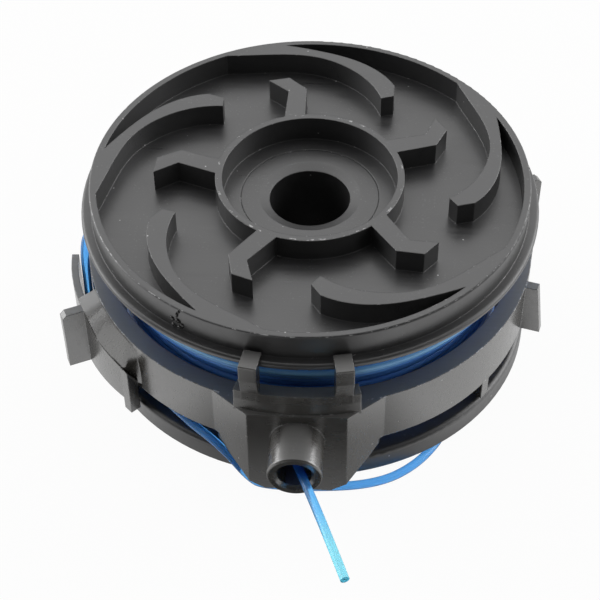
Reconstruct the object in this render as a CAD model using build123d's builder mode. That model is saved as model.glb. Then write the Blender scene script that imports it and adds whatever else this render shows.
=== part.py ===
from build123d import *
from math import cos, radians, sin, tan
import os

# Two-line trimmer spool: a bobbin with a cam plate on top, and a guide ring that turns freely
# round both. Sizes in millimetres. Heights are measured from the table, azimuths from +X.

# Cam plate
spool_height = 37.6
rim_radius = 40.0
rim_width = 1.3
rim_edge_radius = 0.3
tray_depth = 4.5
plate_thickness = 1.7
lip_overhang = 1.85
lip_drop = 0.4
lip_thickness = 1.4
lip_edge_radius = 0.6
hub_radius = 17.2
hub_wall = 1.25
hub_floor_depth = 5.0

# Feed vanes and cranked ribs on the cam plate
cam_count = 5
vane_azimuth = 60.45
vane_tip = (27.6, -3.0)
vane_outer_edge = ((30.3, 0.0), (33.2, 10.0), (35.1, 20.0), (36.7, 30.0), (38.6, 39.0), (39.3, 42.0))
vane_inner_edge = ((25.7, 0.5), (29.5, 10.5), (32.2, 19.5), (34.4, 29.0), (37.0, 50.0), (39.3, 59.0))
rib_azimuth = 32.95
rib_bend_radius = 24.3
rib_bend_offset = 2.8
rib_tip_radius = 28.4
rib_root_width = 3.9
rib_bend_width = 3.6
rib_tip_width = 4.0
rib_root_share = 0.65

# Bobbin
bore_radius = 7.4
bore_lead_radius = 9.3
bore_lead_depth = 0.65
neck_radius = 12.65
neck_clearance = 0.05
drum_radius = 19.5
drum_wall = 2.0
bore_wall = 2.4
flange_overhang = 1.4
flange_thickness = 4.2
flange_edge_radius = 1.0
flange_rim_width = 2.2
flange_web = 2.2
foot_height = 2.6
foot_radius = 17.2

# Nylon line and its winding
line_diameter = 1.6
line_gap = 0.15
line_table_gap = 0.05
line_tab_gap = 0.45
line_arm_gap = 0.3
line_band_gap = 1.2
line_fillet_share = 0.45
line_one_end = (72.0, 277.4)
line_mouth_offset = 1.9
line_turn_setback = 1.0
line_bow_radius = 61.2
line_passage = 2.3
winding_setback = 0.8
winding_step_rise = 0.8
winding_gap = 0.1
winding_slump = 0.8
slumped_turns = 2
upper_turns = 5
lower_turns = 4

# Guide ring
band_overhang = 1.5
band_thickness = 3.3
band_drop = 15.4
band_height = 10.8
root_overlap = 0.4
ring_clearance = 0.4
hook_clearance = 0.3
block_depth = 2.5
block_width = 17.2
block_wall = 1.8
block_root_angle = 21.1
block_table_gap = 2.0
block_corner_height = 3.9
block_hip_width = 24.6
block_hip_height = 7.9
block_toe_width = 11.6
collar_setback = 0.5
collar_thickness = 2.4
collar_half_angle = 14.5
collar_height = 4.2
collar_straight = 2.0
collar_flare = 0.3
hook_angle = 10.6
hook_width = 3.1
hook_post_clearance = 0.35
hook_depth = 2.2
hook_finger = 0.7
hook_front = 3.3
hook_edge_radius = 0.3
eyelet_diameter = 9.5
eyelet_hole = 5.9
eyelet_length = 8.0
eyelet_drop = 6.4
eyelet_bevel = 0.6
eyelet_edge_radius = 0.5
window_width = 20.0
window_height = 5.8
window_depth = 1.2
fixed_tab_azimuth = -15.0
fixed_tab_top_depth = 2.3
fixed_tab_foot_depth = 3.6
fixed_tab_thickness = 1.7
guide_rib_azimuth = -37.0
guide_rib_width = 1.9
guide_rib_depth = 2.0
guide_rib_clearance = 0.5
arm_root_azimuth = 45.0
arm_lap_angle = 1.0
arm_gap_azimuth = 32.0
arm_ramp_azimuth = 26.7
arm_bow_azimuth = 24.8
arm_end_azimuth = 7.0
arm_flange_clearance = 0.55
arm_bow = 1.6
arm_wall = 1.3
arm_top_drop = 17.0
arm_height = 13.2
arm_ramp_drop = 3.0
arm_web_slope = 1.75
arm_web_rise = 1.0
arm_web_drop = 1.8
arm_root_thickness = 1.9
arm_root_depth = 2.1
arm_root_drop = 1.5
arm_tab_azimuth = 25.2
arm_tab_reach = 4.0
arm_tab_thickness = 1.8
arm_tab_chamfer = 0.8

# Heights and radii that follow from the sizes above
tray_floor = spool_height - tray_depth
lip_top = tray_floor - lip_drop
plate_bottom = tray_floor - plate_thickness
lip_bottom = lip_top - lip_thickness
hub_floor = spool_height - hub_floor_depth
rim_inner_radius = rim_radius - rim_width
lip_radius = rim_radius + lip_overhang
flange_radius = rim_radius + flange_overhang
flange_top = foot_height + flange_thickness
band_radius = rim_radius + band_overhang
band_inner_radius = band_radius - band_thickness
band_top = spool_height - band_drop
band_bottom = band_top - band_height
winding_radius = rim_radius - winding_setback
winding_low_radius = band_inner_radius - line_passage
winding_step_height = band_top + winding_step_rise
block_reach = band_radius + block_depth
collar_inner_radius = band_radius - collar_setback
collar_radius = collar_inner_radius + collar_thickness
collar_top = band_top + collar_height
hook_post_radius = lip_radius + hook_post_clearance
hook_radius = hook_post_radius + hook_depth
hook_underside = lip_top + hook_clearance
hook_top = hook_underside + hook_finger
eyelet_reach = block_reach + eyelet_length
eyelet_height = band_top - eyelet_drop
arm_inner_radius = flange_radius + arm_flange_clearance
arm_top = spool_height - arm_top_drop
arm_bottom = arm_top - arm_height
arm_outside = arm_inner_radius + arm_bow + 2 * arm_wall
web_top = band_bottom + arm_web_rise
line_radius = line_diameter / 2


def polar(radius, azimuth):
    return (radius * cos(radians(azimuth)), radius * sin(radians(azimuth)))


def radial_plane(azimuth):
    # Drawing plane with its first axis pointing outward at this azimuth and its second axis up.
    outward = (*polar(1, azimuth), 0)
    sideways = (*polar(1, azimuth - 90), 0)
    return Plane(origin=(0, 0, 0), x_dir=outward, z_dir=sideways)


# One feed vane, in the shape of a curved fin that runs out into the rim
with BuildPart() as vane:
    with BuildSketch(Plane.XY.offset(tray_floor)):
        with BuildLine():
            outer = Spline(*[polar(*point) for point in vane_outer_edge])
            inner = Spline(*[polar(*point) for point in vane_inner_edge])
            Line(outer @ 1, inner @ 1)
            Polyline(inner @ 0, polar(*vane_tip), outer @ 0)
        make_face()
    extrude(amount=tray_depth)

# One cranked rib, from the hub ring out to a blunt tip
with BuildPart() as cranked_rib:
    rib_root_radius = hub_radius - hub_wall / 2
    with BuildSketch(Plane.XY.offset(tray_floor)):
        with BuildLine():
            Polyline(
                (rib_root_radius, -rib_root_width * rib_root_share),
                (rib_bend_radius, -rib_bend_offset - rib_bend_width / 2),
                (rib_tip_radius, -rib_tip_width / 2),
                (rib_tip_radius, rib_tip_width / 2),
                (rib_bend_radius, -rib_bend_offset + rib_bend_width / 2),
                (rib_root_radius, rib_root_width * (1 - rib_root_share)),
                close=True,
            )
        make_face()
    extrude(amount=tray_depth)

# Cam plate: dished plate with rim and lip, hub ring and the five vanes and ribs
with BuildPart() as cam_plate:
    with BuildSketch(Plane.XZ) as plate_profile:
        with BuildLine():
            Polyline(
                (neck_radius + neck_clearance, plate_bottom),
                (lip_radius - lip_thickness, plate_bottom),
                (lip_radius, lip_bottom),
                (lip_radius, lip_top),
                (rim_radius, lip_top),
                (rim_radius, spool_height),
                (rim_inner_radius, spool_height),
                (rim_inner_radius, tray_floor),
                (hub_radius, tray_floor),
                (hub_radius, spool_height),
                (hub_radius - hub_wall, spool_height),
                (hub_radius - hub_wall, hub_floor),
                (neck_radius + neck_clearance, hub_floor),
                close=True,
            )
        make_face()
        rim_corner = plate_profile.vertices().filter_by_position(Axis.X, rim_radius, rim_radius)
        fillet(rim_corner.sort_by(Axis.Y)[-1], rim_edge_radius)
        lip_corner = plate_profile.vertices().filter_by_position(Axis.X, lip_radius, lip_radius)
        fillet(lip_corner, lip_edge_radius)
    revolve(axis=Axis.Z)
    with PolarLocations(0, cam_count, start_angle=vane_azimuth):
        add(vane.part)
    with PolarLocations(0, cam_count, start_angle=rib_azimuth):
        add(cranked_rib.part)

# Bobbin: foot, dished flange, hollow drum and the neck that seats in the cam plate
with BuildPart() as bobbin:
    with BuildSketch(Plane.XZ) as bobbin_profile:
        with BuildLine():
            Polyline(
                (bore_radius, 0),
                (bore_radius + bore_wall, 0),
                (bore_radius + bore_wall, plate_bottom - drum_wall),
                (foot_radius - drum_wall, plate_bottom - drum_wall),
                (foot_radius - drum_wall, 0),
                (foot_radius, 0),
                (foot_radius, flange_top - flange_web),
                (flange_radius - flange_rim_width, flange_top - flange_web),
                (flange_radius - flange_rim_width, foot_height),
                (flange_radius, foot_height),
                (flange_radius, flange_top),
                (drum_radius, flange_top),
                (drum_radius, plate_bottom),
                (neck_radius, plate_bottom),
                (neck_radius, hub_floor),
                (bore_lead_radius, hub_floor),
                (bore_radius, hub_floor - bore_lead_depth),
                close=True,
            )
        make_face()
        flange_edge = bobbin_profile.vertices().filter_by_position(Axis.X, flange_radius, flange_radius)
        fillet(flange_edge.sort_by(Axis.Y)[-1], flange_edge_radius)
    revolve(axis=Axis.Z)

# Winding: full turns above the guide ring, the lowest ones slumped in, a plain body behind the band
# and narrower turns where they show again below it
with BuildPart() as line_winding:
    winding_bottom = flange_top + winding_gap
    winding_top = plate_bottom - winding_gap
    upper_pitch = (winding_top - winding_step_height) / upper_turns
    plain_bottom = winding_bottom + lower_turns * line_diameter
    with BuildSketch(Plane.XZ):
        with Locations((drum_radius, plain_bottom)):
            Rectangle(
                winding_low_radius - drum_radius,
                winding_step_height - plain_bottom,
                align=(Align.MIN, Align.MIN),
            )
        for turn in range(lower_turns):
            turn_height = winding_bottom + (turn + 0.5) * line_diameter
            with Locations((drum_radius, turn_height)):
                Rectangle(
                    winding_low_radius - line_radius - drum_radius,
                    line_diameter,
                    align=(Align.MIN, Align.CENTER),
                )
            with Locations((winding_low_radius - line_radius, turn_height)):
                Circle(line_radius)
        for turn in range(upper_turns):
            slump = winding_slump * max(0, slumped_turns - turn)
            turn_radius = winding_radius - upper_pitch / 2 - slump
            turn_height = winding_step_height + (turn + 0.5) * upper_pitch
            with Locations((drum_radius, turn_height)):
                Rectangle(turn_radius - drum_radius, upper_pitch, align=(Align.MIN, Align.CENTER))
            with Locations((turn_radius, turn_height)):
                Circle(upper_pitch / 2)
    revolve(axis=Axis.Z)

# Eyelet block: a flat front with angled sides, an apron below it, collar, two hooks and the eyelet
block_root_sine = sin(radians(block_root_angle))
block_root_cosine = cos(radians(block_root_angle))
block_root = (band_radius * block_root_sine, -band_radius * block_root_cosine)
block_back = (band_inner_radius * block_root_sine, -band_inner_radius * block_root_cosine)
block_half = block_width / 2
block_bottom = block_table_gap

with BuildPart() as eyelet_block:
    with BuildSketch(Plane.XY.offset(band_bottom)):
        with BuildLine():
            Polyline(
                (-block_root[0], block_root[1]),
                (-block_half, -block_reach),
                (block_half, -block_reach),
                block_root,
                block_back,
                (-block_back[0], block_back[1]),
                close=True,
            )
        make_face()
        Circle(band_inner_radius, mode=Mode.SUBTRACT)
    extrude(amount=band_height)
    with BuildSketch(Plane.XY.offset(block_bottom)):
        with BuildLine():
            apron = Polyline(
                (-block_root[0], block_root[1]),
                (-block_half, -block_reach),
                (block_half, -block_reach),
                block_root,
            )
            offset(apron, amount=block_wall, side=Side.LEFT)
        make_face()
        Circle(flange_radius + ring_clearance, mode=Mode.SUBTRACT)
    extrude(amount=band_bottom - block_bottom)
    with BuildSketch(Plane.XZ) as shield:
        with BuildLine():
            Polyline(
                (-block_root[0], band_top),
                (block_root[0], band_top),
                (block_root[0], band_bottom),
                (block_hip_width / 2, block_hip_height),
                (block_half, block_corner_height),
                (block_toe_width / 2, block_bottom),
                (-block_toe_width / 2, block_bottom),
                (-block_half, block_corner_height),
                (-block_hip_width / 2, block_hip_height),
                (-block_root[0], band_bottom),
                close=True,
            )
        make_face()
    extrude(amount=block_reach, mode=Mode.INTERSECT)
    with BuildSketch(radial_plane(270 - collar_half_angle)):
        with BuildLine():
            Polyline(
                (collar_inner_radius, band_top - root_overlap),
                (collar_inner_radius, collar_top),
                (collar_radius, collar_top),
                (collar_radius, collar_top - collar_straight),
                (collar_radius + collar_flare, band_top - root_overlap),
                close=True,
            )
        make_face()
    revolve(axis=Axis.Z, revolution_arc=2 * collar_half_angle)
    for side in (-1, 1):
        with BuildSketch(radial_plane(270 + side * hook_angle)) as hook_profile:
            with BuildLine():
                Polyline(
                    (rim_radius + ring_clearance, hook_top),
                    (hook_radius, hook_top),
                    (hook_radius, hook_top - hook_front),
                    (collar_radius, collar_top),
                    (collar_radius, collar_top - collar_straight),
                    (hook_post_radius, collar_top - collar_straight),
                    (hook_post_radius, hook_underside),
                    (rim_radius + ring_clearance, hook_underside),
                    close=True,
                )
            make_face()
            hook_corner = hook_profile.vertices().sort_by(Axis.Y)[-2:]
            fillet(hook_corner.sort_by(Axis.X)[-1], hook_edge_radius)
        extrude(amount=hook_width / 2, both=True)
    with BuildSketch(Plane.XZ.offset(collar_inner_radius)):
        with Locations((0, eyelet_height)):
            Circle(eyelet_diameter / 2)
    extrude(amount=eyelet_reach - collar_inner_radius)
    with BuildSketch(Plane.XZ):
        with Locations((0, eyelet_height)):
            Circle(eyelet_hole / 2)
    extrude(amount=eyelet_reach, mode=Mode.SUBTRACT)
    with BuildSketch(Plane.XZ):
        with Locations((0, eyelet_height)):
            Rectangle(window_width, window_height)
    extrude(amount=band_radius + window_depth, mode=Mode.SUBTRACT)
    mouth = eyelet_block.edges().filter_by(GeomType.CIRCLE).sort_by(Axis.Y)[:2].sort_by(SortBy.RADIUS)
    fillet(mouth[-1], eyelet_edge_radius)
    mouth = eyelet_block.edges().filter_by(GeomType.CIRCLE).sort_by(Axis.Y)[:2].sort_by(SortBy.RADIUS)
    chamfer(mouth[0], eyelet_bevel)

# Latch arm: a spring wall outside the band, hung from the band's lower edge at its root, with a tab
with BuildPart() as latch_arm:
    with BuildSketch(Plane.XY.offset(arm_bottom)):
        with BuildLine():
            inner_face = ThreePointArc(
                polar(arm_inner_radius, arm_root_azimuth - arm_lap_angle),
                polar(arm_inner_radius + arm_bow, arm_bow_azimuth),
                polar(arm_inner_radius + arm_bow, arm_end_azimuth),
            )
            offset(inner_face, amount=arm_wall, side=Side.LEFT)
        make_face()
    extrude(amount=arm_height)
    with BuildSketch(radial_plane(arm_gap_azimuth)):
        with Locations((band_radius - root_overlap, band_bottom - arm_web_drop)):
            Rectangle(
                root_overlap + arm_flange_clearance + arm_wall - ring_clearance / 2,
                arm_top - band_bottom + arm_web_drop,
                align=(Align.MIN, Align.MIN),
            )
    revolve(axis=Axis.Z, revolution_arc=arm_root_azimuth - arm_gap_azimuth - arm_lap_angle)
    with BuildSketch(radial_plane(arm_root_azimuth)):
        with Locations((flange_radius + arm_flange_clearance, arm_bottom - arm_root_drop)):
            Rectangle(arm_root_depth, arm_height + arm_root_drop, align=(Align.MIN, Align.MIN))
    extrude(amount=arm_root_thickness)
    with BuildSketch(radial_plane(arm_gap_azimuth)):
        with BuildLine():
            Polyline(
                (band_radius, web_top),
                (arm_outside, web_top + arm_web_slope * (arm_outside - band_radius)),
                (arm_outside, spool_height),
                (band_radius, spool_height),
                close=True,
            )
        make_face()
    revolve(
        axis=Axis.Z,
        revolution_arc=arm_root_azimuth - arm_gap_azimuth + arm_lap_angle,
        mode=Mode.SUBTRACT,
    )
    ramp_length = arm_outside * sin(radians(arm_gap_azimuth - arm_ramp_azimuth))
    ramp_start = Vector(*polar(band_radius, arm_ramp_azimuth), 0)
    outward = (*polar(1, arm_ramp_azimuth), 0)
    along = (*polar(1, arm_ramp_azimuth + 90), 0)
    with BuildSketch(Plane(origin=ramp_start, x_dir=along, z_dir=outward)):
        with BuildLine():
            Polyline(
                (0, arm_top),
                (ramp_length, arm_top - arm_ramp_drop),
                (ramp_length, spool_height),
                (0, spool_height),
                close=True,
            )
        make_face()
    extrude(amount=arm_outside - band_radius, mode=Mode.SUBTRACT)
    tab_root = arm_inner_radius + arm_bow + arm_wall / 2
    with BuildSketch(radial_plane(arm_tab_azimuth)) as tab_profile:
        with Locations((tab_root, arm_bottom)):
            Rectangle(arm_wall / 2 + arm_tab_reach, arm_height, align=(Align.MIN, Align.MIN))
        tab_corner = tab_profile.vertices().sort_by(Axis.Y)[-2:]
        chamfer(tab_corner.sort_by(Axis.X)[-1], arm_tab_chamfer)
    extrude(amount=arm_tab_thickness / 2, both=True)

# One fixed tab and one guide rib; each is repeated on the opposite side
with BuildPart() as fixed_tab:
    with BuildSketch(radial_plane(fixed_tab_azimuth)):
        with BuildLine():
            Polyline(
                (band_radius - root_overlap, band_bottom),
                (band_radius + fixed_tab_foot_depth, band_bottom),
                (band_radius + fixed_tab_top_depth, band_top),
                (band_radius - root_overlap, band_top),
                close=True,
            )
        make_face()
    extrude(amount=fixed_tab_thickness / 2, both=True)

with BuildPart() as guide_rib:
    with BuildSketch(radial_plane(guide_rib_azimuth)):
        with Locations((band_radius - guide_rib_depth, flange_top + guide_rib_clearance)):
            Rectangle(
                guide_rib_depth,
                band_bottom + root_overlap - flange_top - guide_rib_clearance,
                align=(Align.MIN, Align.MIN),
            )
    extrude(amount=guide_rib_width / 2, both=True)

with BuildPart() as guide_ring:
    with BuildSketch(Plane.XY.offset(band_bottom)):
        Circle(band_radius)
        Circle(band_inner_radius, mode=Mode.SUBTRACT)
    extrude(amount=band_height)
    with BuildSketch(Plane.XZ):
        with Locations((0, eyelet_height)):
            Rectangle(window_width, window_height)
    extrude(amount=band_radius, both=True, mode=Mode.SUBTRACT)
    with PolarLocations(0, 2):
        add(eyelet_block.part)
        add(fixed_tab.part)
        add(guide_rib.part)
        add(latch_arm.part)


def route_point(radius, azimuth, height):
    return Vector(*polar(radius, azimuth), height)


def line_tube(points):
    # Round line along straight runs, with the widest bends that the runs leave room for.
    radii = []
    for before, corner, after in zip(points, points[1:], points[2:]):
        half_turn = radians((corner - before).get_angle(after - corner) / 2)
        shorter_run = min((corner - before).length, (after - corner).length)
        radii.append(line_fillet_share * shorter_run / tan(half_turn))
    with BuildPart() as tube:
        with BuildLine():
            path = FilletPolyline(*points, radius=radii)
        with BuildSketch(Plane(origin=path @ 0, z_dir=path % 0)):
            Circle(line_radius)
        sweep()
    return tube.part


# Each line leaves the winding inside the ring, turns in the window and passes through its eyelet
line_in_ring = (winding_low_radius + band_inner_radius) / 2
line_on_table = line_radius + line_table_gap
line_over_tab = band_top + line_radius + line_tab_gap
mouth_point = Vector(line_mouth_offset, -eyelet_reach, eyelet_height)
end_point = route_point(*line_one_end, eyelet_height - line_radius)
hole_direction = Vector(end_point.X - mouth_point.X, end_point.Y - mouth_point.Y, 0).normalized()
hole_depth = eyelet_reach - band_radius + line_turn_setback
turn_point = mouth_point + hole_direction * (hole_depth / hole_direction.Y)
winding_exit = [
    route_point(line_in_ring, 244, eyelet_height),
    route_point(line_in_ring + line_gap, 256.5, eyelet_height),
    turn_point,
]
line_one = line_tube([*winding_exit, end_point])

# The second line bows out behind the ring, passes over the rear fixed tab, is parked behind the
# left arm, runs under the band and under the front block, and ends under the bottom flange
rear_exit = [point.rotate(Axis.Z, 180) for point in winding_exit]
line_in_arm = band_radius + line_radius + line_arm_gap
line_under_band = band_bottom - line_radius - line_band_gap
line_two = line_tube(
    [
        *rear_exit,
        route_point(line_bow_radius, 95.1, eyelet_height),
        route_point(line_bow_radius - 1.6, 113.8, eyelet_height + 1.4),
        route_point(line_bow_radius - 7.8, 133.1, eyelet_height + 4.6),
        route_point(line_bow_radius - 13.8, 153.0, line_over_tab),
        route_point(line_in_arm + 0.9, 172.8, line_over_tab),
        route_point(line_in_arm + 0.1, 184.0, band_top - 0.2),
        route_point(line_in_arm, 190.0, band_top - 2.8),
        route_point(line_in_arm, 194.5, band_top - 6.2),
        route_point(line_in_arm, 197.3, band_bottom + 0.8),
        route_point(line_in_arm - 0.3, 201.2, line_under_band + 0.6),
        route_point(band_radius - 1.1, 207.5, line_under_band),
        route_point(band_radius - 2.3, 217.0, line_under_band),
        route_point(band_radius - 2.3, 232.0, line_under_band - 0.4),
        route_point(band_radius - 0.9, 242.0, line_under_band - 0.6),
        route_point(band_radius + 0.3, 248.5, line_under_band - 0.6),
        route_point(band_radius + 0.8, 253.0, block_hip_height - 1.4),
        route_point(band_radius + 1.5, 257.9, block_table_gap + 0.6),
        route_point(band_radius + 1.6, 261.6, line_on_table),
        route_point(band_radius + 1.3, 279.4, line_on_table),
        route_point(band_radius + 0.7, 290.0, line_on_table),
        route_point(band_radius + 0.4, 298.0, line_on_table),
        route_point(band_radius - 0.2, 307.0, line_on_table),
        route_point(band_radius - 3.0, 317.0, line_on_table),
        route_point(band_radius - 7.0, 327.0, line_on_table),
    ]
)

cam_plate.part.label = "cam_plate"
bobbin.part.label = "bobbin"
line_winding.part.label = "line_winding"
guide_ring.part.label = "guide_ring"
line_one.label = "line_one_end"
line_two.label = "line_two_end"

os.makedirs("parts", exist_ok=True)
export_step(cam_plate.part, "parts/cam_plate.step")
export_step(bobbin.part, "parts/bobbin.step")
export_step(line_winding.part, "parts/line_winding.step")
export_step(guide_ring.part, "parts/guide_ring.step")
export_step(line_one, "parts/line_one_end.step")
export_step(line_two, "parts/line_two_end.step")
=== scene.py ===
import math
import random

import bmesh
import bpy
from mathutils import Matrix, Vector, noise


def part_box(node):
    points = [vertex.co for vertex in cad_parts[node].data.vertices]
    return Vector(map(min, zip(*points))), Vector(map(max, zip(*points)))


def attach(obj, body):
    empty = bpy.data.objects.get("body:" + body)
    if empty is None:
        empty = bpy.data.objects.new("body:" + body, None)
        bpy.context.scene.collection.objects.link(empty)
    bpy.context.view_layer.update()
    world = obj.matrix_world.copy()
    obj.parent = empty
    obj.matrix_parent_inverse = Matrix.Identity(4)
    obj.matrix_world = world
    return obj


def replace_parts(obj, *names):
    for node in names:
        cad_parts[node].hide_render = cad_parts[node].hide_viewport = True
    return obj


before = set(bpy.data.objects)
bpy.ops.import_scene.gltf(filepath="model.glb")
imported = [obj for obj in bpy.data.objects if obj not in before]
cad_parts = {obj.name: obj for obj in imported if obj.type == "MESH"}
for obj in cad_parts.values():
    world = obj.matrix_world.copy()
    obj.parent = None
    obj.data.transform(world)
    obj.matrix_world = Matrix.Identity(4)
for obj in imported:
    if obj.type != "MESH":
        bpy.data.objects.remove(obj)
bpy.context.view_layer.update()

MM = 0.001

# Sizes shared with the solids, in millimetres and degrees
RIM_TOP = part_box("cam_plate")[1].z / MM
RIM_RADIUS = 40.0
HUB_RADIUS = 17.2
LINE_DIAMETER = 1.6
LINE_RADIUS = LINE_DIAMETER / 2
LINE_GAP = 0.15
LINE_TABLE_GAP = 0.05
LINE_TAB_GAP = 0.45
LINE_ARM_GAP = 0.3
LINE_BAND_GAP = 1.2
LINE_MOUTH_OFFSET = 1.9
LINE_TURN_SETBACK = 1.0
LINE_BOW_RADIUS = 61.2
LINE_ONE_END = (72.0, 277.4)
LINE_ONE_LENGTH = 48.5
LINE_TWO_LENGTH = 228.4
BAND_RADIUS = 41.5
BAND_INNER_RADIUS = 38.2
BAND_TOP = RIM_TOP - 15.4
BAND_BOTTOM = BAND_TOP - 10.8
BLOCK_HIP_HEIGHT = 7.9
BLOCK_TABLE_GAP = 2.0
EYELET_HEIGHT = BAND_TOP - 6.4
EYELET_REACH = 52.0
ARM_WALL = 1.3
ARM_TOP = BAND_TOP - 1.6
ARM_ROOT = 44.0
ARM_RAMP = 26.7
ARM_PLAN = ((41.95, ARM_ROOT), (43.55, 24.8), (43.55, 7.0))
WINDING_RADIUS = 39.2
WINDING_LOW_RADIUS = 35.9
WINDING_STEP = BAND_TOP + 0.8
WINDING_SLUMP = 0.8
SLUMPED_TURNS = 2
UPPER_TURNS = 5
WINDING_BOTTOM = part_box("line_winding")[0].z / MM
WINDING_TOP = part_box("line_winding")[1].z / MM

# Camera, fitted to the ellipses of the rim
CAMERA_ELEVATION = 46.309
CAMERA_TURN = 3.75
CAMERA_ROLL = -0.713
CAMERA_PLACE = (-2.060, -214.573, RIM_TOP + 191.838)
CAMERA_LENS = 94.973
CAMERA_SENSOR = 36.0

# Light of the white room, its share from the front, and the point that the softboxes face
ROOM_LIGHT = 0.4
ROOM_FRONT_SHARE = 0.1
SOFTBOX_AIM = (0, 0, 0.03)

# Floor's paper, and how white it is to the view and in gloss near the object, far off and in shade
FLOOR_PAPER = (0.8, 0.79, 0.77, 1)
FLOOR_SEEN = 0.96
FLOOR_NEAR_GLOSS = 1.0
FLOOR_FAR_GLOSS = 0.9
FLOOR_SHADE_GLOSS = 0.06

# Plastic's edges and cutter marks, its greys (painted light on its tops, cutter marks, grain, edges
# that are part worn and part painted highlight, flash and dust), and the nylon's refraction
EDGE_ROUND = 0.3
CUTTER_STRETCH = (70, 2200, 500)
PAINTED_TOP_LIGHT_GREY = 0.12
CUTTER_MARK_GREY = 0.07
GRAIN_GREY = 0.16
RUBBED_EDGE_AND_HIGHLIGHT_GREY = 0.1
FLASH_GREY = 0.6
NYLON_IOR = 1.53


def polar(radius, azimuth, height):
    turn = math.radians(azimuth)
    return Vector((radius * math.cos(turn), radius * math.sin(turn), height))


# Camera at the photograph's angle
def add_camera():
    tilt = math.radians(CAMERA_ELEVATION)
    roll = math.radians(CAMERA_ROLL)
    right, up = Vector((1, 0, 0)), Vector((0, math.sin(tilt), math.cos(tilt)))
    back = right.cross(up)
    rolled_right = right * math.cos(roll) + up * math.sin(roll)
    rolled_up = up * math.cos(roll) - right * math.sin(roll)
    axes = Matrix((rolled_right, rolled_up, back)).transposed().to_4x4()
    turn = Matrix.Rotation(math.radians(CAMERA_TURN), 4, "Z")
    data = bpy.data.cameras.new("camera")
    data.lens = CAMERA_LENS
    data.sensor_width = CAMERA_SENSOR
    data.clip_start = 0.01
    camera = bpy.data.objects.new("camera", data)
    camera.matrix_world = turn @ Matrix.Translation(Vector(CAMERA_PLACE) * MM) @ axes
    bpy.context.scene.collection.objects.link(camera)
    bpy.context.scene.camera = camera


# Short names for building node trees
class Nodes:
    def __init__(self, tree):
        self.tree = tree
        tree.nodes.clear()

    def add(self, kind, inputs=None, **settings):
        node = self.tree.nodes.new(kind)
        for name, value in settings.items():
            setattr(node, name, value)
        for name, value in (inputs or {}).items():
            self.feed(node.inputs[name], value)
        return node

    def feed(self, socket, value):
        if isinstance(value, bpy.types.NodeSocket):
            self.tree.links.new(value, socket)
        else:
            socket.default_value = value

    def math(self, operation, a, b=0.0):
        return self.add("ShaderNodeMath", {0: a, 1: b}, operation=operation).outputs[0]

    def times(self, a, b):
        return self.math("MULTIPLY", a, b)

    def measure(self, operation, a, b=(0, 0, 0)):
        # A number worked out from vectors, such as a length or a distance.
        return self.add("ShaderNodeVectorMath", {0: a, 1: b}, operation=operation).outputs["Value"]

    def axes(self, vector):
        return self.add("ShaderNodeSeparateXYZ", {0: vector}).outputs

    def ramp(self, value, low, high, out_low=0.0, out_high=1.0):
        return self.add(
            "ShaderNodeMapRange",
            {"Value": value, "From Min": low, "From Max": high, "To Min": out_low, "To Max": out_high},
        ).outputs[0]

    def noise(self, vector, scale, detail=2.0, roughness=0.5):
        return self.add(
            "ShaderNodeTexNoise",
            {"Vector": vector, "Scale": scale, "Detail": detail, "Roughness": roughness},
        ).outputs["Fac"]

    def mix(self, factor, a, b):
        node = self.add("ShaderNodeMix", data_type="RGBA")
        self.feed(node.inputs[0], factor)
        self.feed(node.inputs[6], a)
        self.feed(node.inputs[7], b)
        return node.outputs[2]

    def place(self):
        # Point on the piece, its distance from the spool's axis and its height.
        point = self.add("ShaderNodeTexCoord").outputs["Object"]
        axes = self.axes(point)
        flat = self.add("ShaderNodeCombineXYZ", {0: axes[0], 1: axes[1]}).outputs[0]
        return point, self.measure("LENGTH", flat), axes[2]

    def surface(self, inputs):
        shader = self.add("ShaderNodeBsdfPrincipled", inputs)
        self.add("ShaderNodeOutputMaterial", {"Surface": shader.outputs[0]})


def new_material(name):
    material = bpy.data.materials.new(name)
    material.use_nodes = True
    return material, Nodes(material.node_tree)


def shade(colour, share=1.0):
    return (*(level * share for level in colour), 1)


def grey(level):
    return (level, level, level, 1)


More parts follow.
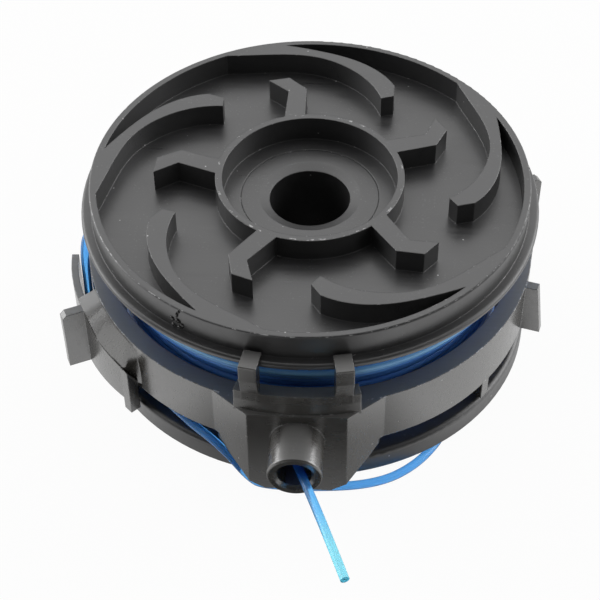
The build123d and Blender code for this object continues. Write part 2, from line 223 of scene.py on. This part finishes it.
def moulded_plastic(name, colour, ior, satin, matte_tops_painted_light, crumble, flash_rings):
    # Satin moulded plastic: cutter marks, grain on its tops, dust, and flecks of flash along its edges;
    # its tops are painted a lighter grey as painted light, and its edges a paler grey, partly as wear
    # and partly as painted highlight.
    material, n = new_material(name)
    point, radius, height = n.place()
    sharp = n.add("ShaderNodeNewGeometry").outputs["Normal"]
    soft = n.add("ShaderNodeBevel", {"Radius": EDGE_ROUND * MM}, samples=4).outputs[0]
    edge = n.ramp(n.measure("DOT_PRODUCT", soft, sharp), 0.97, 0.86)
    upward = n.ramp(n.axes(sharp)[2], 0.8, 0.95)

    broad = n.noise(point, scale=80, detail=3, roughness=0.55)
    fine = n.noise(point, scale=3600, detail=3, roughness=0.6)
    along = n.add("ShaderNodeVectorMath", {0: point, 1: CUTTER_STRETCH}, operation="MULTIPLY")
    marks = n.noise(along.outputs[0], scale=1, detail=3, roughness=0.6)
    patch = n.ramp(n.noise(point, scale=260), 0.48, 0.62)
    grain = n.ramp(n.noise(point, scale=2300, detail=1), 0.62, 0.74)
    top_grain = n.times(grain, n.times(upward, patch))
    dots = n.add("ShaderNodeTexVoronoi", {"Vector": point, "Scale": 230.0}).outputs["Distance"]
    dust = n.ramp(dots, 0.04, 0.025)

    crumbs = n.noise(point, scale=1000, detail=2, roughness=0.6)
    flash = n.times(edge, n.ramp(crumbs, 1 - crumble, 1.06 - crumble))
    for ring_radius, ring_height, spread, density in flash_rings:
        across = n.math("SUBTRACT", radius, ring_radius * MM)
        above = n.math("SUBTRACT", height, ring_height * MM)
        span = n.math("SQRT", n.math("ADD", n.times(across, across), n.times(above, above)))
        near = n.ramp(span, spread * MM, 0.4 * spread * MM)
        flecks = n.noise(point, scale=760, detail=3, roughness=0.65)
        flash = n.math("MAXIMUM", flash, n.times(near, n.ramp(flecks, 1 - density, 1.05 - density)))

    base = n.mix(n.ramp(broad, 0.3, 0.7), shade(colour, 0.85), shade(colour, 1.2))
    # Upward faces are mixed towards a lighter grey, which is painted light on the tops; the same share
    # also makes them rougher.
    for where, amount, level in (
        (upward, matte_tops_painted_light, PAINTED_TOP_LIGHT_GREY),
        (n.ramp(marks, 0.4, 0.75), 0.25, CUTTER_MARK_GREY),
        (top_grain, 0.45, GRAIN_GREY),
        # Edges get a paler grey: partly wear, partly a painted highlight along them.
        (edge, 0.25, RUBBED_EDGE_AND_HIGHLIGHT_GREY),
    ):
        base = n.mix(n.times(where, amount), base, grey(level))
    base = n.mix(n.math("MAXIMUM", n.times(flash, 0.8), dust), base, grey(FLASH_GREY))
    rough = n.ramp(broad, 0.3, 0.7, satin - 0.03, satin + 0.03)
    rough = n.math("ADD", rough, n.ramp(marks, 0.3, 0.7, -0.05, 0.05))
    rough = n.math("ADD", rough, n.times(upward, matte_tops_painted_light))
    bump = n.add(
        "ShaderNodeBump",
        {"Strength": 0.2, "Distance": 0.04 * MM, "Height": fine, "Normal": soft},
    )
    n.surface({"Base Color": base, "Roughness": rough, "Normal": bump.outputs[0], "IOR": ior})
    return material


def nylon(name, shaded_colour, lit_colour, inner, outer, clearness):
    # Drawn nylon, smooth and clouded; it gets paler from the inner radius to the outer one, which is
    # painted shade towards the inner radius and painted light towards the outer one.
    material, n = new_material(name)
    point, radius = n.place()[:2]
    cloud = n.ramp(n.noise(point, scale=140, detail=3, roughness=0.6), 0.3, 0.7, -0.2, 0.2)
    # Painted shade and light by radius, plus random cloud.
    painted_shade_and_cloud = n.math("ADD", n.ramp(radius, inner * MM, outer * MM), cloud)
    fine = n.noise(point, scale=2400)
    bump = n.add("ShaderNodeBump", {"Strength": 0.05, "Distance": 0.03 * MM, "Height": fine})
    n.surface({
        "Base Color": n.mix(painted_shade_and_cloud, shade(shaded_colour), shade(lit_colour)),
        "Roughness": n.ramp(fine, 0.3, 0.7, 0.14, 0.22),
        "Normal": bump.outputs[0],
        "IOR": NYLON_IOR,
        "Transmission Weight": clearness,
    })
    return material


def glossy_drip(name):
    # Melted plastic at the gate: smooth and shiny, with a slight swirl.
    material, n = new_material(name)
    point = n.place()[0]
    swirl = n.noise(point, scale=1400, detail=3, roughness=0.6)
    bump = n.add("ShaderNodeBump", {"Strength": 0.15, "Distance": 0.1 * MM, "Height": swirl})
    n.surface({
        "Base Color": n.mix(swirl, grey(0.008), grey(0.02)),
        "Roughness": n.ramp(swirl, 0.3, 0.7, 0.08, 0.16),
        "Normal": bump.outputs[0],
    })
    return material


def add_piece(name, mesh, material, body):
    mesh.materials.append(material)
    piece = bpy.data.objects.new(name, mesh)
    bpy.context.scene.collection.objects.link(piece)
    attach(piece, body)
    return piece


# The ring, with the rear spring arm's free end in against the band, as no line is parked behind it
def add_ring(material):
    inward, clear_of_band = 1.9, 0.2
    free_end, held = 12.0, 23.0
    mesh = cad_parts["guide_ring"].data.copy()
    mesh.materials.clear()
    for vert in mesh.vertices:
        azimuth = math.degrees(math.atan2(vert.co.y, vert.co.x))
        on_arm = math.hypot(vert.co.x, vert.co.y) > (BAND_RADIUS + clear_of_band) * MM
        if on_arm and 0 < azimuth < held:
            vert.co.x -= inward * MM * min(1.0, (held - azimuth) / (held - free_end))
    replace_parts(add_piece("ring_arms_at_rest", mesh, material, "ring"), "guide_ring")


# Webs that run from the band's top edge down to the outer edge of each spring arm
def arm_inner_radius(azimuth):
    # Distance from the axis to the arm's inner face, an arc through three points of its plan.
    a, b, c = (polar(radius, turn, 0).to_2d() for radius, turn in ARM_PLAN)
    ab, ac = b - a, c - a
    area = 2 * ab.cross(ac)
    middle = a + Vector((
        (ac.y * ab.length_squared - ab.y * ac.length_squared) / area,
        (ab.x * ac.length_squared - ac.x * ab.length_squared) / area,
    ))
    ray = polar(1, azimuth, 0).to_2d()
    along = middle.dot(ray)
    return along + math.sqrt(along * along - middle.length_squared + (a - middle).length_squared)


def add_arm_webs(material):
    # Each web sinks with its arm's ramp, and over its last few degrees its outer edge joins the band.
    thick, lap, crease = 2.6, 0.06, math.radians(35)
    ramp_drop, ramp_ease = 5.4, 0.6
    join_start, web_end = 42, 46
    verts, faces = [], []
    for side, web_start in ((180, 22), (0, 24)):
        stations = range(web_start, web_end + 1)
        start = len(verts)
        for azimuth in stations:
            sink = max(0.0, azimuth - ARM_RAMP) / (web_end - ARM_RAMP)
            height = ARM_TOP - ramp_drop * sink * (1 + ramp_ease - ramp_ease * sink)
            joined = max(0.0, (azimuth - join_start) / (web_end - join_start))
            arm_edge = arm_inner_radius(min(azimuth, ARM_ROOT)) + ARM_WALL - lap
            out = BAND_RADIUS + (arm_edge - BAND_RADIUS) * (1 - joined)
            for radius, level in (
                (BAND_RADIUS - lap, BAND_TOP - 2 * lap),
                (out, height + lap),
                (out, height - thick),
                (BAND_RADIUS - 2 * lap, height - thick),
            ):
                verts.append(polar(radius, azimuth + side, level) * MM)
        for step in range(len(stations) - 1):
            here = start + 4 * step
            for edge in range(4):
                beside = (edge + 1) % 4
                faces.append((here + edge, here + beside, here + 4 + beside, here + 4 + edge))
        faces.append(tuple(range(start + 3, start - 1, -1)))
        faces.append(tuple(range(len(verts) - 4, len(verts))))
    mesh = bpy.data.meshes.new("arm_webs")
    mesh.from_pydata(verts, [], faces)
    shape = bmesh.new()
    shape.from_mesh(mesh)
    bmesh.ops.recalc_face_normals(shape, faces=shape.faces)
    shape.to_mesh(mesh)
    shape.free()
    mesh.shade_smooth()
    mesh.set_sharp_from_angle(angle=crease)
    add_piece("arm_webs", mesh, material, "ring")


# The wound turns on the drum
def turn_ring(verts, faces, radius, height):
    # One turn, drifting a little in radius and height as hand-fed line does.
    sides, steps, wander = 12, 160, 0.04
    waves = [(k, random.uniform(0, math.tau), random.uniform(0, math.tau)) for k in (1, 2, 3, 5)]
    first = len(verts)
    for step in range(steps):
        angle = math.tau * step / steps
        drift = sum(wander * math.sin(k * angle + a) for k, a, b in waves)
        lift = sum(wander * math.sin(k * angle + b) for k, a, b in waves)
        for side in range(sides):
            tilt = math.tau * side / sides
            out = radius - LINE_RADIUS + drift + LINE_RADIUS * math.cos(tilt)
            up = height + lift + LINE_RADIUS * math.sin(tilt)
            verts.append(polar(out, math.degrees(angle), up) * MM)
    for step in range(steps):
        for side in range(sides):
            here = first + step * sides
            there = first + (step + 1) % steps * sides
            beside = (side + 1) % sides
            faces.append((here + side, there + side, there + beside, here + beside))


def add_winding(material):
    # Two layers of turns, each with a row behind it; the upper layer's lowest turns have slumped in.
    random.seed(7)
    lower_turns, row_depth = 10, 1.2
    least_sag, most_sag = 0.18, 0.36
    layers = (
        (WINDING_STEP, WINDING_TOP, WINDING_RADIUS, UPPER_TURNS, SLUMPED_TURNS),
        (WINDING_BOTTOM, WINDING_STEP, WINDING_LOW_RADIUS, lower_turns, 0),
    )
    verts, faces = [], []
    for low, high, radius, count, slumped in layers:
        pitch = (high - low - LINE_DIAMETER) / (count - 1)
        for turn in range(count):
            height = low + LINE_RADIUS + turn * pitch
            sag = random.uniform(least_sag, most_sag) + WINDING_SLUMP * max(0, slumped - turn)
            for depth in (0, row_depth):
                turn_ring(verts, faces, radius - depth - sag, height)
    mesh = bpy.data.meshes.new("wound_turns")
    mesh.from_pydata(verts, [], faces)
    mesh.shade_smooth()
    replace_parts(add_piece("wound_turns", mesh, material, "spool"), "line_winding")


# The two free lines
def cord_curve(name, points, material):
    data = bpy.data.curves.new(name, "CURVE")
    data.dimensions = "3D"
    data.bevel_depth = LINE_RADIUS * MM
    data.bevel_resolution = 5
    data.use_fill_caps = True
    data.resolution_u = 8
    spline = data.splines.new("NURBS")
    spline.points.add(len(points) - 1)
    for point, place in zip(spline.points, points):
        point.co = (*(place * MM), 1)
    spline.order_u = 3
    spline.use_endpoint_u = True
    data.materials.append(material)
    cord = bpy.data.objects.new(name, data)
    bpy.context.scene.collection.objects.link(cord)
    return cord


def add_lines(first_material, second_material):
    in_ring = (WINDING_LOW_RADIUS + BAND_INNER_RADIUS) / 2
    on_table = LINE_RADIUS + LINE_TABLE_GAP
    over_tab = BAND_TOP + LINE_RADIUS + LINE_TAB_GAP
    in_arm = BAND_RADIUS + LINE_RADIUS + LINE_ARM_GAP
    under_band = BAND_BOTTOM - LINE_RADIUS - LINE_BAND_GAP
    eyelet_depth = EYELET_REACH - BAND_RADIUS + LINE_TURN_SETBACK
    end = polar(*LINE_ONE_END, EYELET_HEIGHT - LINE_RADIUS)
    mouth = Vector((LINE_MOUTH_OFFSET, -EYELET_REACH, EYELET_HEIGHT))
    way = Vector((end.x - mouth.x, end.y - mouth.y, 0)).normalized()
    winding_exit = [
        polar(in_ring, 244, EYELET_HEIGHT),
        polar(in_ring + LINE_GAP, 256.5, EYELET_HEIGHT),
        mouth + way * (eyelet_depth / way.y),
    ]
    rear_exit = [Vector((-point.x, -point.y, point.z)) for point in winding_exit]
    line_one = cord_curve("line_one", [*winding_exit, end], first_material)
    line_two = cord_curve(
        "line_two",
        [
            *rear_exit,
            polar(LINE_BOW_RADIUS, 95.1, EYELET_HEIGHT),
            polar(LINE_BOW_RADIUS - 1.6, 113.8, EYELET_HEIGHT + 1.4),
            polar(LINE_BOW_RADIUS - 7.8, 133.1, EYELET_HEIGHT + 4.6),
            polar(LINE_BOW_RADIUS - 13.8, 153.0, over_tab),
            polar(BAND_RADIUS - 1.0, 169.0, over_tab),
            polar(BAND_RADIUS - 1.3, 178.0, over_tab),
            polar(BAND_RADIUS + 0.5, 184.0, over_tab),
            polar(in_arm - 0.2, 188.0, BAND_TOP - 0.2),
            polar(in_arm - 0.25, 191.5, BAND_TOP - 2.6),
            polar(in_arm - 0.25, 194.5, BAND_TOP - 6.2),
            polar(in_arm, 197.3, BAND_BOTTOM + 0.8),
            polar(in_arm - 0.3, 201.2, under_band + 0.6),
            polar(BAND_RADIUS - 1.1, 207.5, under_band),
            polar(BAND_RADIUS - 2.3, 217.0, under_band),
            polar(BAND_RADIUS - 2.3, 232.0, under_band - 0.4),
            polar(BAND_RADIUS - 0.9, 242.0, under_band - 0.6),
            polar(BAND_RADIUS + 0.3, 248.5, under_band - 0.6),
            polar(BAND_RADIUS + 0.8, 253.0, BLOCK_HIP_HEIGHT - 1.4),
            polar(BAND_RADIUS + 1.5, 257.9, BLOCK_TABLE_GAP + 0.6),
            polar(BAND_RADIUS + 1.6, 261.6, on_table),
            polar(BAND_RADIUS + 1.5, 279.4, on_table),
            polar(BAND_RADIUS + 1.9, 290.0, on_table),
            polar(BAND_RADIUS + 1.0, 298.0, on_table),
            polar(BAND_RADIUS - 0.8, 306.0, on_table),
            polar(BAND_RADIUS - 3.4, 315.0, on_table),
            polar(BAND_RADIUS - 7.0, 326.0, on_table),
        ],
        second_material,
    )
    for line, node, start, length in (
        (line_one, "line_one_end", winding_exit[0], LINE_ONE_LENGTH),
        (line_two, "line_two_end", rear_exit[0], LINE_TWO_LENGTH),
    ):
        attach(line, "ring")
        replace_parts(line, node)


# Melted lumps where the mould's gate was cut off the rim's wall
def add_gate_scar(material):
    # A lump's azimuth and height on the wall, then half of its width and of its height.
    lumps = (
        (239.8, 37.1, 0.24, 0.3),
        (239.1, 36.1, 0.26, 0.62),
        (237.5, 34.6, 0.5, 0.42),
        (239.3, 34.7, 0.55, 0.5),
        (240.5, 34.0, 0.4, 0.55),
        (237.8, 33.2, 0.42, 0.36),
        (239.8, 33.3, 0.5, 0.3),
    )
    stand_out, unevenness, bumps_per_mm = 0.26, 0.35, 1.7
    upright = Vector((0, 0, 1))
    shape = bmesh.new()
    for azimuth, height, width, tall in lumps:
        seat = polar(RIM_RADIUS, azimuth, height) * MM
        outward = polar(1, azimuth, 0)
        sideways = outward.cross(upright)
        made = bmesh.ops.create_icosphere(shape, subdivisions=3, radius=MM)
        for vert in made["verts"]:
            spot = vert.co / MM * bumps_per_mm + Vector((azimuth, height, 0))
            x, y, z = vert.co * (1 + unevenness * noise.noise(spot))
            vert.co = seat + outward * (x * stand_out) + sideways * (y * width) + upright * (z * tall)
    mesh = bpy.data.meshes.new("gate_scar")
    shape.to_mesh(mesh)
    shape.free()
    mesh.shade_smooth()
    add_piece("gate_scar", mesh, material, "spool")


# Floor, background and lights
def add_floor():
    # White paper; what shows of it in gloss is darker below the object and in its shadow in front.
    half = 1.5
    below_object = (0.009, -0.004, 0)
    block_side, block_front = (0.016, 0.034), (-0.06, -0.02)
    object_edge, near_edge = (0.028, 0.036), (0.056, 0.068)
    corners = [(-half, -half, 0), (half, -half, 0), (half, half, 0), (-half, half, 0)]
    mesh = bpy.data.meshes.new("floor")
    mesh.from_pydata(corners, [], [(0, 1, 2, 3)])
    floor = bpy.data.objects.new("floor", mesh)
    bpy.context.scene.collection.objects.link(floor)
    material, n = new_material("floor_paper")
    point, radius = n.place()[:2]
    axes = n.axes(point)
    beside = n.ramp(n.math("ABSOLUTE", axes[0]), *block_side)
    behind = n.ramp(axes[1], *block_front)
    clear = n.ramp(n.measure("DISTANCE", point, below_object), *object_edge)
    lit = n.times(n.math("MAXIMUM", beside, behind), clear)
    bright = n.ramp(radius, *near_edge, FLOOR_NEAR_GLOSS, FLOOR_FAR_GLOSS)
    mirrored = n.math("MAXIMUM", n.times(lit, bright), FLOOR_SHADE_GLOSS)
    path = n.add("ShaderNodeLightPath").outputs
    seen = n.math("MAXIMUM", path["Is Camera Ray"], path["Is Transmission Ray"])
    strength = n.math("ADD", seen, n.times(path["Is Glossy Ray"], mirrored))
    share = n.math("MAXIMUM", n.times(seen, FLOOR_SEEN), path["Is Glossy Ray"])
    paper = n.add("ShaderNodeBsdfDiffuse", {"Color": FLOOR_PAPER})
    glow = n.add("ShaderNodeEmission", {"Color": grey(1), "Strength": strength})
    blend = n.add("ShaderNodeMixShader", {0: share, 1: paper.outputs[0], 2: glow.outputs[0]})
    n.add("ShaderNodeOutputMaterial", {"Surface": blend.outputs[0]})
    mesh.materials.append(material)


def add_room():
    # White to the view and through clear nylon; the light that it gives is weaker from the front.
    world = bpy.data.worlds.new("studio")
    world.use_nodes = True
    n = Nodes(world.node_tree)
    path = n.add("ShaderNodeLightPath").outputs
    seen = n.math("MAXIMUM", path["Is Camera Ray"], path["Is Transmission Ray"])
    way = n.axes(n.add("ShaderNodeTexCoord").outputs["Generated"])
    front, rear = -0.7, 0.2
    light = n.ramp(way[1], front, rear, ROOM_FRONT_SHARE * ROOM_LIGHT, ROOM_LIGHT)
    strength = n.math("MAXIMUM", seen, light)
    sky = n.add("ShaderNodeBackground", {"Color": grey(1), "Strength": strength})
    n.add("ShaderNodeOutputWorld", {"Surface": sky.outputs[0]})
    bpy.context.scene.world = world


def add_softbox(name, place, width, height, watts):
    data = bpy.data.lights.new(name, "AREA")
    data.shape = "RECTANGLE"
    data.size, data.size_y = width, height
    data.energy = watts
    lamp = bpy.data.objects.new(name, data)
    lamp.location = place
    lamp.rotation_euler = (Vector(SOFTBOX_AIM) - Vector(place)).to_track_quat("-Z", "Y").to_euler()
    bpy.context.scene.collection.objects.link(lamp)


add_camera()
add_floor()
add_room()
add_softbox("softbox_back", place=(0.0, 0.63, 0.9), width=1.9, height=1.3, watts=6.0)
add_softbox("softbox_left", place=(-0.85, 0.3, 0.33), width=0.9, height=0.65, watts=4.6)
add_softbox("softbox_right", place=(0.85, 0.3, 0.33), width=0.9, height=0.65, watts=4.6)

# Materials; each ring of flash has a radius, a height, a spread and a density
spool_black = moulded_plastic(
    "spool_black",
    colour=(0.036, 0.036, 0.037),
    ior=1.95,
    satin=0.34,
    matte_tops_painted_light=0.0,
    crumble=0.36,
    flash_rings=[(RIM_RADIUS - 0.1, RIM_TOP, 0.16, 0.46), (HUB_RADIUS - 0.3, RIM_TOP, 0.24, 0.4)],
)
ring_black = moulded_plastic(
    "ring_black",
    colour=(0.055, 0.052, 0.047),
    ior=2.4,
    satin=0.25,
    matte_tops_painted_light=0.3,
    crumble=0.42,
    flash_rings=[(BAND_RADIUS, BAND_TOP, 0.2, 0.46)],
)
# The free lines are painted darker near the spool and paler further out, as painted shade and light.
line_cyan = nylon(
    "line_cyan",
    shaded_colour=(0.06, 0.36, 1.0),
    lit_colour=(0.3, 0.85, 1.0),
    inner=50,
    outer=66,
    clearness=0.7,
)
line_blue = nylon(
    "line_blue",
    shaded_colour=(0.14, 0.5, 1.0),
    lit_colour=(0.18, 0.56, 1.0),
    inner=44,
    outer=90,
    clearness=0.6,
)
# The deeper turns of the winding are painted darker, as painted shade between the turns.
wound_blue = nylon(
    "wound_blue",
    shaded_colour=(0.12, 0.36, 1.0),
    lit_colour=(0.24, 0.58, 1.0),
    inner=37.2,
    outer=38.9,
    clearness=0.0,
)

for node in ("cam_plate", "bobbin"):
    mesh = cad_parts[node].data
    mesh.materials.clear()
    mesh.materials.append(spool_black)

add_ring(ring_black)
add_arm_webs(ring_black)
add_winding(wound_blue)
add_lines(line_cyan, line_blue)
add_gate_scar(glossy_drip("gate_gloss"))

view = bpy.context.scene.view_settings
view.view_transform = "Standard"
